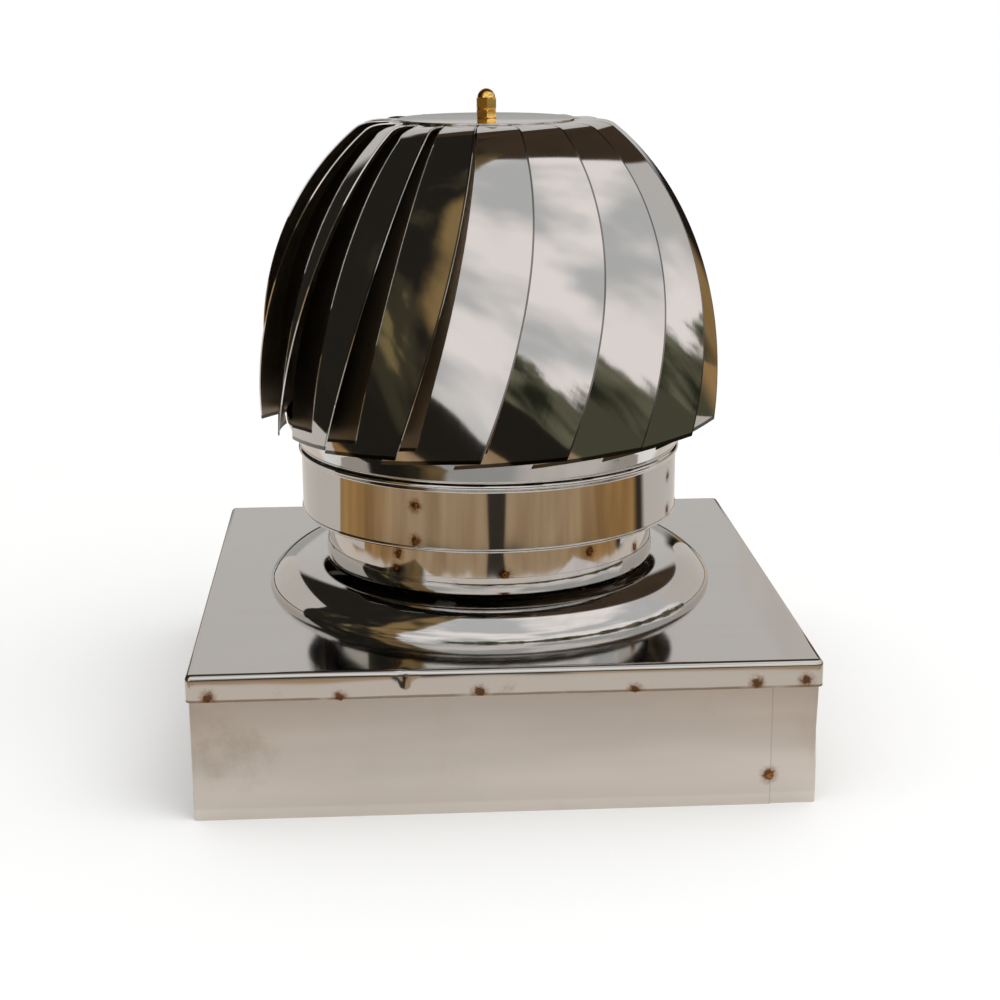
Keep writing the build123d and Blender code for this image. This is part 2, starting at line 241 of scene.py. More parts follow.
class Finish:
    """A material and its node tree."""

    def __init__(self, name):
        self.material = bpy.data.materials.new(name)
        self.material.use_nodes = True
        self.nodes = self.material.node_tree.nodes
        self.links = self.material.node_tree.links
        self.nodes.clear()

    def add(self, kind, settings=None, sockets=None):
        """Adds a node with its settings and socket values, and gives its outputs by place or name."""
        node = self.nodes.new(kind)
        for key, value in (settings or {}).items():
            setattr(node, key, value)
        for key, value in (sockets or {}).items():
            if isinstance(value, Signal):
                self.links.new(value.socket, node.inputs[key])
            else:
                node.inputs[key].default_value = value
        outputs = {place: Signal(self, socket) for place, socket in enumerate(node.outputs)}
        outputs.update({socket.name: Signal(self, socket) for socket in node.outputs})
        return outputs

    def place(self):
        """Object coordinates."""
        return self.add("ShaderNodeTexCoord")["Object"]

    def parts(self, vector):
        """The three parts of a vector."""
        outputs = self.add("ShaderNodeSeparateXYZ", sockets={0: vector})
        return outputs[0], outputs[1], outputs[2]

    def noise(self, point, scale, stretch=(1, 1, 1), detail=3.0, roughness=0.5):
        """Noise from 0 to 1, drawn out along an axis by a small stretch there."""
        mapped = self.add("ShaderNodeMapping", sockets={"Vector": point, "Scale": stretch})[0]
        sockets = {"Vector": mapped, "Scale": scale, "Detail": detail, "Roughness": roughness}
        return self.add("ShaderNodeTexNoise", sockets=sockets)[0]

    def blend(self, share, first, second):
        """The first colour where share is 0 and the second where it is 1."""
        ends = [value if isinstance(value, Signal) else (*value, 1) for value in (first, second)]
        settings = {"data_type": "RGBA", "clamp_factor": True}
        return self.add("ShaderNodeMix", settings, {0: share, 6: ends[0], 7: ends[1]})[2]

    def nearest(self, point, spots):
        """Distance to the nearest of the spots."""
        result = None
        for spot in spots:
            away = self.add("ShaderNodeVectorMath", {"operation": "DISTANCE"}, {0: point, 1: spot})["Value"]
            result = away if result is None else result.least(away)
        return result

    def bump(self, height, distance):
        """A normal raised by height times distance."""
        return self.add("ShaderNodeBump", sockets={"Height": height, "Distance": distance})[0]

    def metal(self, base, roughness, normal):
        """Ends the tree in a metal surface."""
        sockets = {"Base Color": base, "Roughness": roughness, "Normal": normal, "Metallic": 1.0}
        surface = self.add("ShaderNodeBsdfPrincipled", sockets=sockets)[0]
        self.add("ShaderNodeOutputMaterial", sockets={"Surface": surface})
        return self.material


def shade(tone, factor):
    """A colour made darker or lighter."""
    return [min(1, part * factor) for part in tone]


def polar(radius, azimuth, height):
    """A point at an azimuth counted from the front, positive towards +X."""
    return Vector((radius * math.sin(azimuth), -radius * math.cos(azimuth), height))


def wall_spot(radius, degrees, height):
    """A spot on a round wall and the way that it looks."""
    azimuth = math.radians(degrees)
    return polar(radius, azimuth, height), polar(1, azimuth, 0)


def rim_welds(base):
    """Spots and ways of the rim's tack welds: the front's as seen, the other sides' evenly spaced."""
    half = base.lid_side / 2
    seen = [
        (-0.1865, 0.0830),
        (-0.1047, 0.0807),
        (-0.0172, 0.0822),
        (0.0806, 0.0808),
        (0.1581, 0.0833),
        (0.1894, 0.0845),
    ]
    spots = [(Vector((x, -half, z)), FRONT) for x, z in seen]
    low = base.rim_bottom + 0.002
    for turn in (1, 2, 3):
        spin = Matrix.Rotation(turn * math.pi / 2, 3, "Z")
        for x in (-0.172, -0.061, 0.055, 0.168):
            spots.append((spin @ Vector((x, -half, low)), spin @ FRONT))
    return spots


def seam_welds(base):
    """The tack weld on the skirt's seam, set a little to its left."""
    seam = base.skirt_side / 2 - base.seam_inset
    return [(Vector((seam - 0.0008, -base.skirt_side / 2, 0.020)), FRONT)]


def neck_welds(base):
    """Tack welds where the bearing arms meet the neck: azimuths in degrees, and heights."""
    seen = [(-35, 0.1430), (32.7, 0.1420), (57.6, 0.1340), (-36, 0.1320), (2, 0.1320)]
    hidden = [(145, 0.1420), (235, 0.1420)]
    return [wall_spot(base.neck_radius, degrees, height) for degrees, height in seen + hidden]


def ring_welds(head):
    """Tack welds where the spider's four feet meet the skirt ring."""
    turns = [-24.5 + 90 * foot for foot in range(4)]
    heights = (0.1586, 0.1824)
    return [wall_spot(head.ring_radius, turn, height) for turn in turns for height in heights]


def scorched(finish, point, base, tone, spots, reach):
    """Base colour with a heat-tinted halo round the spots."""
    away = finish.nearest(point, spots)
    ragged = away + (finish.noise(point, 420, detail=2) - 0.5) * (reach * 0.7)
    halo = finish.blend(ragged.step(reach, reach * 0.35) * 0.55, base, tone)
    return finish.blend(ragged.step(reach * 0.55, reach * 0.3) * 0.9, halo, shade(tone, 0.4))


def polished_steel(name, tone, scorch, spots, ripple):
    """Mirror-polished sheet with slow ripples, faint rubbing lines and heat-tinted welds."""
    finish = Finish(name)
    point = finish.place()
    clouds = finish.noise(point, 9, detail=4)
    lines = finish.noise(point, 60, stretch=(1, 1, 0.03), detail=3)
    base = finish.blend(clouds, shade(tone, 0.94), tone)
    base = finish.blend(lines.step(0.45, 0.75) * 0.25, base, shade(tone, 0.86))
    if spots:
        base = scorched(finish, point, base, scorch, spots, 0.007)
    roughness = 0.035 + clouds * 0.03 + lines * 0.03
    slow = finish.noise(point, 7, stretch=(1, 1, 0.6), detail=1.5)
    return finish.metal(base, roughness, finish.bump(slow + lines * 0.02, ripple))


def blade_steel(tone):
    """Mirror-polished sheet of the blades, each a little different and dulled along its edges, with painted
    shade: a near-black line along the outer edge and a near-black band along the foot; the inner side is
    darker brown and rougher, partly soot and partly painted shade.
    """
    finish = Finish("blade_steel")
    point = finish.place()
    blade_map = finish.add("ShaderNodeUVMap", {"uv_map": "blade_map"})[0]
    across, along, _ = finish.parts(blade_map)
    own = finish.add("ShaderNodeAttribute", {"attribute_name": "blade_tone"})["Fac"]
    lines = finish.noise(blade_map, 260, stretch=(1, 0.02, 1), detail=3)
    clouds = finish.noise(point, 8, detail=4)
    # The inner side is darker brown and rougher: partly soot, partly painted shade under the blades
    inside = across.step(0.5 * INSIDE_SHIFT, 0.6 * INSIDE_SHIFT)
    # Painted shade: a near-black line over the outer 1.2 mm of each blade's face, for the shadow past its
    # edge; the edge is also rougher there
    edge = across.step(0.0014, 0.0010) * across.step(0.6 * EDGE_SHIFT, 0.2 * EDGE_SHIFT)
    # Painted shade: hem masks a near-black band over each blade's lowest 3 mm, along its foot, where the
    # blade has no real hem
    hem = (along + (finish.noise(point, 60, detail=2) - 0.5) * 0.001).step(0.0032, 0.0024)
    base = finish.blend(clouds, shade(tone, 0.95), tone)
    base = finish.blend(own * 0.35, base, shade(tone, 0.90))
    base = finish.blend(edge * 0.75, base, (0.05, 0.042, 0.035))
    base = finish.blend(inside, base, (0.36, 0.29, 0.20))
    base = finish.blend(hem * 0.9, base, (0.03, 0.025, 0.02))
    roughness = 0.02 + clouds * 0.025 + lines * 0.025 + edge * 0.12 + own * 0.015 + inside * 0.3
    slow = finish.noise(point, 11, stretch=(1, 1, 0.45), detail=1.5)
    return finish.metal(base, roughness, finish.bump(slow + lines * 0.015, 0.0006))


def lid_steel(base_sizes, tone, scorch):
    """Half-bright sheet of the lid, with painted shade lines along the fold and the rim's lower edge, tarnish
    and heat-tinted welds.
    """
    finish = Finish("lid_steel")
    point = finish.place()
    x, _, z = finish.parts(point)
    clouds = finish.noise(point, 6, detail=5)
    rolling = finish.noise(point, 90, stretch=(0.03, 1, 1), detail=3)
    base = finish.blend(clouds, shade(tone, 0.88), tone)
    base = finish.blend(rolling.step(0.5, 0.8) * 0.2, base, shade(tone, 0.85))
    fold = base_sizes.lid_top - base_sizes.rim_bend
    wander = (finish.noise(point, 30, detail=2) - 0.5) * 0.001
    left = x.step(base_sizes.dent_place + 0.01, base_sizes.dent_place)
    # Painted shade: a dark brown line along the fold left of the dent, and a broken dark line along the rim's
    # lower edge, for the shadows there; both lines are also rougher
    fold_shade = (z + wander - fold).size().step(0.0008, 0.0002) * left
    rim_shadow = (z + wander - base_sizes.rim_bottom - 0.0006).size().step(0.0014, 0.0005)
    broken = finish.noise(point, 24, detail=3).step(0.28, 0.5)
    painted_shade_lines = (fold_shade * 0.35).most(rim_shadow * broken * 0.75)
    base = finish.blend(painted_shade_lines, base, (0.20, 0.13, 0.07))
    dirt = finish.noise(point, 38, detail=6, roughness=0.65).step(0.58, 0.8)
    on_rim = z.step(fold + 0.001, fold - 0.004)
    base = finish.blend(dirt * on_rim * 0.45, base, (0.36, 0.28, 0.19))
    spots = [spot for spot, _ in rim_welds(base_sizes)]
    base = scorched(finish, point, base, scorch, spots, 0.0075)
    roughness = 0.05 + clouds * 0.04 + rolling * 0.03 + painted_shade_lines * 0.2
    slow = finish.noise(point, 5, detail=2)
    return finish.metal(base, roughness, finish.bump(slow + rolling * 0.01, 0.0008))


def satin_steel(base_sizes, tone, scorch):
    """Dull sheet of the skirt: rolling bands, smudges and a paler strip over the lower edge."""
    finish = Finish("satin_steel")
    point = finish.place()
    x, y, z = finish.parts(point)
    bands = finish.noise(point, 17, stretch=(0.13, 0.13, 1), detail=3).step(0.3, 0.7)
    clouds = finish.noise(point, 7, detail=5)
    grain = finish.noise(point, 700, stretch=(0.04, 0.04, 1), detail=2)
    lift = z.step(0, 0.045) * 0.5 + 0.5
    base = finish.blend(bands * lift, shade(tone, 0.82), shade(tone, 1.08))
    base = finish.blend(z.step(0.0085, 0.0065) * 0.28, base, (0.80, 0.75, 0.68))
    smudge = finish.noise(point, 22, detail=6, roughness=0.6).step(0.52, 0.78)
    left = x.step(-0.09, -0.16)
    base = finish.blend(smudge * left * 0.6, base, (0.33, 0.29, 0.20))
    base = finish.blend(smudge * 0.15, base, (0.38, 0.31, 0.23))
    seam = base_sizes.skirt_side / 2 - base_sizes.seam_inset
    on_front = y.step(-0.19, -0.195)
    line = (x - seam).size().step(0.0007, 0.0003) * on_front
    base = finish.blend(line * 0.25, base, (0.16, 0.13, 0.10))
    spots = [spot for spot, _ in seam_welds(base_sizes)]
    base = scorched(finish, point, base, scorch, spots, 0.008)
    roughness = 0.30 + clouds * 0.10 + grain * 0.06
    slow = finish.noise(point, 6, stretch=(1, 1, 0.5), detail=2)
    return finish.metal(base, roughness, finish.bump(slow + grain * 0.004, 0.0012))


def turned_metal(name, tone, roughness, wear):
    """Turned or drawn metal with fine lines round the axis and some tarnish."""
    finish = Finish(name)
    point = finish.place()
    lines = finish.noise(point, 1500, stretch=(0.05, 0.05, 1), detail=2)
    tarnish = finish.noise(point, 160, detail=5, roughness=0.6).step(0.45, 0.75)
    base = finish.blend(tarnish * wear, tone, shade(tone, 0.55))
    rough = roughness + lines * (0.24 * wear) + tarnish * (0.3 * wear)
    return finish.metal(base, rough, finish.bump(lines, 0.00008 * wear))


def weld_metal(tone):
    """Tack weld: brown oxide with a dark middle and a few bright grains."""
    finish = Finish("weld_metal")
    grains = finish.noise(finish.place(), 700, detail=4, roughness=0.6)
    base = finish.blend(grains.step(0.35, 0.65), shade(tone, 0.4), shade(tone, 1.5))
    base = finish.blend(grains.step(0.62, 0.72) * 0.3, base, (0.62, 0.36, 0.17))
    return finish.metal(base, 0.32 + grains * 0.25, finish.bump(grains, 0.0003))


def add_object(mesh):
    """An object in the scene, named as its mesh."""
    obj = bpy.data.objects.new(mesh.name, mesh)
    bpy.context.scene.collection.objects.link(obj)
    return obj


def smooth(mesh, degrees):
    """Smooth shading with sharp edges kept."""
    mesh.polygons.foreach_set("use_smooth", [True] * len(mesh.polygons))
    mesh.set_sharp_from_angle(angle=math.radians(degrees))


def closed_mesh(name, points, faces, degrees=32):
    """A mesh from a closed shell, with its faces turned outwards."""
    mesh = bpy.data.meshes.new(name)
    mesh.from_pydata([tuple(point) for point in points], [], faces)
    shell = bmesh.new()
    shell.from_mesh(mesh)
    bmesh.ops.remove_doubles(shell, verts=shell.verts, dist=1e-7)
    bmesh.ops.recalc_face_normals(shell, faces=shell.faces)
    shell.to_mesh(mesh)
    shell.free()
    smooth(mesh, degrees)
    return mesh


def finish_piece(obj, body, slot, material, *nodes):
    """Gives a piece its material and body, and hides the solids that it stands for; the slot is not used."""
    obj.data.materials.clear()
    obj.data.materials.append(material)
    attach(obj, body)
    if nodes:
        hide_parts(*nodes)


def rounded(corners, steps=5):
    """A profile of (radius, height) points from (radius, height, bend) corners of a closed outline."""
    profile = []
    count = len(corners)
    most = 0.48  # part of a run that one bend may take
    for place, (r, z, bend) in enumerate(corners):
        corner = Vector((r, z))
        before = Vector(corners[place - 1][:2]) - corner
        after = Vector(corners[(place + 1) % count][:2]) - corner
        if bend == 0:
            profile.append(corner)
            continue
        start = corner + before.normalized() * min(bend, before.length * most)
        end = corner + after.normalized() * min(bend, after.length * most)
        for number in range(steps + 1):
            share = number / steps
            profile.append(start * (1 - share) ** 2 + corner * 2 * share * (1 - share) + end * share**2)
    return profile


def turned(name, profile):
    """A ring: a closed profile of (radius, height) points turned round the axis."""
    count = len(profile)
    turns = [math.tau * number / RING_SEGMENTS for number in range(RING_SEGMENTS)]
    points = [polar(r, turn, z) for turn in turns for r, z in profile]
    faces = []
    for number in range(RING_SEGMENTS):
        here = number * count
        there = (number + 1) % RING_SEGMENTS * count
        for place in range(count):
            following = (place + 1) % count
            faces.append((here + place, here + following, there + following, there + place))
    return closed_mesh(name, points, faces)


def sheet_faces(rows, columns, wrapped):
    """Faces of a grid of points in row order; wrapped closes each row into a loop."""
    faces = []
    for row in range(rows - 1):
        for column in range(columns if wrapped else columns - 1):
            following = (column + 1) % columns
            here = row * columns
            below = here + columns
            faces.append((here + column, here + following, below + following, below + column))
    return faces


def grid_normals(grid, wrapped):
    """Unit normals of a grid of points, from the ways along its rows and columns."""
    normals = []
    last = len(grid) - 1
    for number, row in enumerate(grid):
        above = grid[max(number - 1, 0)]
        below = grid[min(number + 1, last)]
        count = len(row)
        for place in range(count):
            if wrapped:
                along = row[(place + 1) % count] - row[place - 1]
            else:
                along = row[min(place + 1, count - 1)] - row[max(place - 1, 0)]
            normals.append(along.cross(below[place] - above[place]).normalized())
    return normals


def folded_sheet(grid, thickness, wrapped=False):
    """Points and faces of a closed sheet: the grid, a second side along its normals and the borders."""
    outer = [point for row in grid for point in row]
    inner = [point + normal * thickness for point, normal in zip(outer, grid_normals(grid, wrapped))]
    rows = len(grid)
    columns = len(grid[0])
    total = rows * columns
    faces = sheet_faces(rows, columns, wrapped)
    faces += [tuple(total + corner for corner in reversed(face)) for face in faces]
    border = []
    last = (rows - 1) * columns
    if wrapped:
        for column in range(columns):
            following = (column + 1) % columns
            border += [(column, following), (last + following, last + column)]
    else:
        border += [(column, column + 1) for column in range(columns - 1)]
        border += [(last + column + 1, last + column) for column in range(columns - 1)]
        for row in range(rows - 1):
            here = row * columns
            below = here + columns
            border += [(below, here), (here + columns - 1, below + columns - 1)]
    faces += [(first, first + total, second + total, second) for first, second in border]
    return outer + inner, faces


def square_loop(half, bend, along, round_steps):
    """Points round a square with rounded corners, from the right front corner towards the right side."""
    loop = []
    for turn in range(4):
        spin = Matrix.Rotation(turn * math.pi / 2, 2)
        for number in range(round_steps + 1):
            sweep = math.pi / 2 * number / round_steps
            corner = Vector((half - bend + bend * math.sin(sweep), -half + bend - bend * math.cos(sweep)))
            loop.append(spin @ corner)
        for number in range(1, along):
            share = number / along
            loop.append(spin @ Vector((half, (half - bend) * (2 * share - 1))))
    return loop


def dip(away, spread):
    """1 in the middle of a dent, falling to 0 outside its spread along each axis."""
    return math.exp(-sum((part / width) ** 2 for part, width in zip(away, spread)))


class COWL_OT_skirt(bpy.types.Operator):
    """Make the base's folded skirt with its lapped seam"""

    bl_idname = "cowl.skirt"
    bl_label = "Skirt"

    def execute(self, context):
        base = context.scene.cowl_base
        colours = context.scene.cowl_finishes
        half = base.skirt_side / 2
        bend = base.corner_bend - base.sheet
        lap = base.lap_offset - half
        seam = half - base.seam_inset
        corners = [
            (seam, -half),
            (-half, -half),
            (-half, half),
            (half, half),
            (half, lap),
            (seam - base.lap_width, lap),
        ]
        path = self.bent_path([Vector(corner) for corner in corners], bend)
        heights = [base.skirt_top * share for share in (0, 0.02, 0.1, 0.25, 0.4, 0.55, 0.7, 0.85, 1)]
        grid = [[self.rippled(point, height, half) for point in path] for height in heights]
        mesh = closed_mesh("folded_skirt", *folded_sheet(grid, base.sheet))
        material = satin_steel(base, colours.satin, colours.scorch)
        finish_piece(add_object(mesh), "base", "satin_steel", material, "base_skirt")
        return {"FINISHED"}

    def bent_path(self, corners, bend, steps=6, spacing=0.004):
        """Points along straight runs that are joined by round bends."""
        path = [corners[0]]
        for before, corner, after in zip(corners, corners[1:], corners[2:]):
            inwards = (before - corner).normalized()
            outwards = (after - corner).normalized()
            middle = corner + (inwards + outwards) * bend
            self.fill_run(path, corner + inwards * bend, spacing)
            for number in range(1, steps + 1):
                turn = math.pi / 2 * number / steps
                path.append(middle - outwards * bend * math.cos(turn) - inwards * bend * math.sin(turn))
        self.fill_run(path, corners[-1], spacing)
        return path

    def fill_run(self, path, end, spacing):
        """Adds evenly spaced points to the path, up to the run's end."""
        start = path[-1]
        count = max(1, round((end - start).length / spacing))
        path.extend(start.lerp(end, number / count) for number in range(1, count + 1))

    def rippled(self, point, height, half):
        """A point of the skirt, pressed in a little by the ripples near the right front corner."""
        x, y = point
        on_right = x > half - 0.002
        near_front = y < -0.1
        if on_right and near_front:
            depth, middle, reach, waves = 0.0004, 0.045, 0.03, 520
            x -= depth * dip((x - half, height - middle), (reach, reach)) * (1 + math.sin(height * waves))
        return Vector((x, y, height))


class COWL_OT_lid(bpy.types.Operator):
    """Make the lid with its folded rim, the dent in its front fold and the neck's hole"""

    bl_idname = "cowl.lid"
    bl_label = "Lid"

    def execute(self, context):
        base = context.scene.cowl_base
        colours = context.scene.cowl_finishes
        grid = []
        for inset, height in self.levels(base):
            bend = max(base.corner_bend - inset, 0.0004)
            loop = square_loop(base.lid_side / 2 - inset, bend, along=160, round_steps=6)
            grid.append([self.dented(Vector((x, y, height)), base) for x, y in loop])
        hole = base.neck_radius + base.neck_clearance
        last = grid[-1]
        for share in (0.35, 0.7, 1):
            grid.append([point.lerp(self.on_hole(point, hole), share) for point in last])
        mesh = closed_mesh("folded_lid", *folded_sheet(grid, base.sheet, wrapped=True))
        material = lid_steel(base, colours.lid, colours.scorch)
        finish_piece(add_object(mesh), "base", "lid_steel", material, "base_lid")
        return {"FINISHED"}

    def levels(self, base, steps=6):
        """Inset and height of the loops up the rim, round its fold and onto the flat."""
        levels = [(0, base.rim_bottom + rise) for rise in (0, 0.002, 0.007)]
        for number in range(steps + 1):
            turn = math.pi / 2 * number / steps
            inset = base.rim_bend * (1 - math.cos(turn))
            levels.append((inset, base.lid_top - base.rim_bend * (1 - math.sin(turn))))
        return levels + [(inset, base.lid_top) for inset in (0.0033, 0.004, 0.012, 0.03)]

    def on_hole(self, point, radius):
        """The point of the neck's hole that lies towards a point of the lid."""
        flat = Vector((point.x, point.y)).normalized() * radius
        return Vector((flat.x, flat.y, point.z))

    def dented(self, point, base):
        """A point of the lid, pushed in where the front fold was knocked and slack to the left of it."""
        away = point - Vector((base.dent_place, -base.lid_side / 2, base.lid_top - base.rim_bend))
        dent = base.dent_depth * dip(away, (0.0038, 0.005, 0.0035))
        slack_place = -0.13
        slack = 0.0006 * dip((point.x - slack_place, away.y, away.z), (0.06, 0.004, 0.003))
        return point + Vector((0, dent + slack, -0.6 * dent))


class COWL_OT_neck(bpy.types.Operator):
    """Make the neck and the flare collar round its foot"""

    bl_idname = "cowl.neck"
    bl_label = "Neck and flare"

    def execute(self, context):
        base = context.scene.cowl_base
        colours = context.scene.cowl_finishes
        inner = base.neck_radius - base.sheet
        under = base.lid_top - base.sheet
        corners = [
            (inner, under - base.sheet, 0.001),
            (base.neck_flange, under - base.sheet, 0),
            (base.neck_flange, under, 0),
            (base.neck_radius, under, 0),
            (base.neck_radius, base.neck_top, 0.0003),
            (inner, base.neck_top, 0.0003),
        ]
        spots = [spot for spot, _ in neck_welds(base)]
        material = polished_steel("neck_steel", colours.polished, colours.scorch, spots, 0.0005)
        neck = add_object(turned("neck_sheet", rounded(corners)))
        finish_piece(neck, "base", "polished_steel", material, "neck_tube")
        material = polished_steel("flare_steel", colours.polished, colours.scorch, [], 0.0004)
        flare = add_object(turned("flare_sheet", self.flare_profile(base)))
        finish_piece(flare, "base", "polished_steel", material, "flare_collar")
        return {"FINISHED"}

    def flare_profile(self, base):
        """Two bulged arcs from the lid up to the short upright edge, and back along the inside."""
        rise = base.flare_rise
        bend = base.flare_bend
        inner = base.neck_radius + base.neck_clearance
        outer = inner + base.sheet
        top = base.lid_top + rise
        reach = base.flare_radius - outer
        crown = (reach**2 + rise**2 - 2 * reach * bend) / (2 * (rise - bend))
        turn = math.atan2(crown - rise, reach - bend)
        foot_middle = Vector((base.flare_radius - bend, base.lid_top))
        crown_middle = Vector((outer, top - crown))
        sides = []
        for inset in (0, base.sheet):
            foot = self.arc(foot_middle, bend - inset, 0, turn, 12)
            sides.append(foot + self.arc(crown_middle, crown - inset, turn, math.pi / 2, 48))
        outside, inside = sides
        upstand = [Vector((outer, top + base.flare_upstand)), Vector((inner, top + base.flare_upstand))]
        corner = [Vector((inner, top - base.sheet))]
        return outside + upstand + corner + inside[::-1]

    def arc(self, middle, radius, start, end, steps):
        """Points of an arc between two angles."""
        turns = [start + (end - start) * number / steps for number in range(steps + 1)]
        return [middle + Vector((math.cos(turn), math.sin(turn))) * radius for turn in turns]


class COWL_OT_ring(bpy.types.Operator):
    """Make the skirt ring with its hem, bead and widened mouth"""

    bl_idname = "cowl.ring"
    bl_label = "Skirt ring"

    def execute(self, context):
        head = context.scene.cowl_head
        sheet = context.scene.cowl_base.sheet
        colours = context.scene.cowl_finishes
        inner = head.ring_radius - sheet
        hem = head.ring_bottom + head.ring_hem
        shoulder = head.ring_bottom + head.ring_wall
        bead = head.ring_radius + head.ring_bead
        bead_top = shoulder + 0.001
        bead_step = 0.002
        mouth = shoulder + head.mouth_rise
        corners = [
            (inner, head.ring_bottom, 0.0003),
            (head.ring_radius + sheet, head.ring_bottom, 0.0008),
            (head.ring_radius + sheet, hem, 0.0008),
            (head.ring_radius, hem, 0.0004),
            (head.ring_radius, bead_top - 3 * bead_step, 0.0008),
            (bead, bead_top - 2 * bead_step, 0.0016),
            (bead, bead_top - bead_step, 0.0016),
            (head.ring_radius, bead_top, 0.001),
            (head.mouth_radius, mouth, 0.008),
            (head.mouth_radius, head.ring_top, 0.0003),
            (head.mouth_radius - sheet, head.ring_top, 0.0003),
            (head.mouth_radius - sheet, mouth, 0.008),
            (inner, bead_top, 0.001),
        ]
        spots = [spot for spot, _ in ring_welds(head)]
        material = polished_steel("ring_steel", colours.polished, colours.scorch, spots, 0.0006)
        ring = add_object(turned("ring_sheet", rounded(corners, steps=6)))
        finish_piece(ring, "rotor", "polished_steel", material, "skirt_ring")
        return {"FINISHED"}


class Dome:
    """The head's rounded envelope and the blade that is laid on it."""

    def __init__(self, base, head):
        self.head = head
        self.crown_angle = math.acos((head.crown_height - head.dome_waist) / head.dome_rise)
        self.foot_angle = math.acos((head.foot_height - head.dome_waist) / head.dome_rise)
        self.foot_depth = self.reach(1) - head.mouth_radius - head.foot_clearance - base.sheet
        self.pitch = 2 * math.pi / head.blade_count

    def climb(self, share):
        """Height over the waist in rises; share runs from the crown fold (0) to the foot (1)."""
        return math.cos(self.crown_angle + share * (self.foot_angle - self.crown_angle))

    def reach(self, share):
        """Radius of the envelope."""
        fullness = self.head.dome_fullness
        return self.head.dome_radius * (1 - abs(self.climb(share)) ** fullness) ** (1 / fullness)

    def outwards(self, share, azimuth):
        """The way that the dome's surface looks."""
        lean = self.head.crown_lean * (1 - share) ** 1.5
        return polar(math.cos(lean), azimuth, math.sin(lean))

    def point(self, share, azimuth, depth):
        """A point below the envelope, measured square to its surface."""
        height = self.head.dome_waist + self.head.dome_rise * self.climb(share)
        return polar(self.reach(share), azimuth, height) - self.outwards(share, azimuth) * depth

    def row(self, share):
        """Outer edge, bulge and inner edge of the blade at one place of its length."""
        head = self.head
        reach = self.reach(share)
        depth = head.crown_depth + share * (self.foot_depth - head.crown_depth)
        width = self.pitch + (head.crown_overlap + share * (head.foot_overlap - head.crown_overlap)) / reach
        start = head.crown_azimuth - head.blade_sweep * share**2
        edge = self.point(share, start, 0)
        far = self.point(share, start - width, depth) - Vector((0, 0, head.foot_drop * share**2))
        way = self.outwards(share, start - width / 2)
        flat = math.hypot(way.x, way.y)
        return edge, way * (head.blade_bow * (far - edge).length_squared * flat / (8 * reach)), far

    def tab_row(self, radius):
        """The flat tab under the crown disc."""
        head = self.head
        gap = head.tab_gap / (head.disc_radius + head.tab_margin)
        edge = polar(radius, head.crown_azimuth - gap / 2, head.crown_height)
        far = polar(radius, head.crown_azimuth - self.pitch + gap / 2, head.crown_height)
        return edge, Vector(), far

    def rows(self, count=72, fold_steps=8, fold_end=0.03):
        """The blade's rows from the end of its tab over the rounded crown fold to its foot."""
        head = self.head
        root_radius = head.disc_radius + head.tab_margin
        root = self.tab_row(root_radius)
        fold = self.row(0)
        rows = [self.tab_row(root_radius - head.tab_length), root]
        before = [corner.lerp(end, head.fold_round) for corner, end in zip(fold, root)]
        after = self.row(fold_end)
        rows.append([end.lerp(start, 0.5) for start, end in zip(before, root)])
        for number in range(fold_steps + 1):
            share = number / fold_steps
            near, middle, far = (1 - share) ** 2, 2 * share * (1 - share), share**2
            rows.append([a * near + b * middle + c * far for a, b, c in zip(before, fold, after)])
        rows += [self.row(fold_end + (1 - fold_end) * number / count) for number in range(1, count + 1)]
        return rows

    def across(self, edge, bulge, far, count=16):
        """Points across the curved blade from its inner to its outer edge."""
        shares = [number / count for number in range(count + 1)]
        return [far.lerp(edge, share) + bulge * (4 * share * (1 - share)) for share in shares]


def instance_tree(name, inputs):
    """An empty geometry tree with a geometry input, the named number inputs and a geometry output."""
    tree = bpy.data.node_groups.new(name, "GeometryNodeTree")
    tree.interface.new_socket("Geometry", in_out="INPUT", socket_type="NodeSocketGeometry")
    for label, (kind, default) in inputs.items():
        socket = tree.interface.new_socket(label, in_out="INPUT", socket_type=kind)
        if default is not None:
            socket.default_value = default
    tree.interface.new_socket("Geometry", in_out="OUTPUT", socket_type="NodeSocketGeometry")
    return tree


def tree_node(tree, kind, settings=None, sockets=None):
    """Adds a geometry node; socket values that are sockets become links."""
    node = tree.nodes.new(kind)
    for key, value in (settings or {}).items():
        setattr(node, key, value)
    for key, value in (sockets or {}).items():
        if isinstance(value, bpy.types.NodeSocket):
            tree.links.new(value, node.inputs[key])
        else:
            node.inputs[key].default_value = value
    return node


def grown(obj, tree, values):
    """Runs a geometry tree on an object and keeps the result as its plain mesh."""
    modifier = obj.modifiers.new(tree.name, "NODES")
    modifier.node_group = tree
    for item in tree.interface.items_tree:
        if item.in_out == "INPUT" and item.name in values:
            modifier[item.identifier] = values[item.name]
    bpy.context.view_layer.update()
    graph = bpy.context.evaluated_depsgraph_get()
    mesh = bpy.data.meshes.new_from_object(obj.evaluated_get(graph))
    obj.modifiers.clear()
    old = obj.data
    mesh.name = obj.name
    obj.data = mesh
    bpy.data.meshes.remove(old)


def close_tree(tree, geometry, material):
    """Ends a tree in real geometry that has its material."""
    real = tree_node(tree, "GeometryNodeRealizeInstances", sockets={0: geometry})
    sockets = {"Geometry": real.outputs[0], "Material": material}
    dressed = tree_node(tree, "GeometryNodeSetMaterial", sockets=sockets)
    result = tree.nodes.new("NodeGroupOutput")
    tree.links.new(dressed.outputs[0], result.inputs[0])


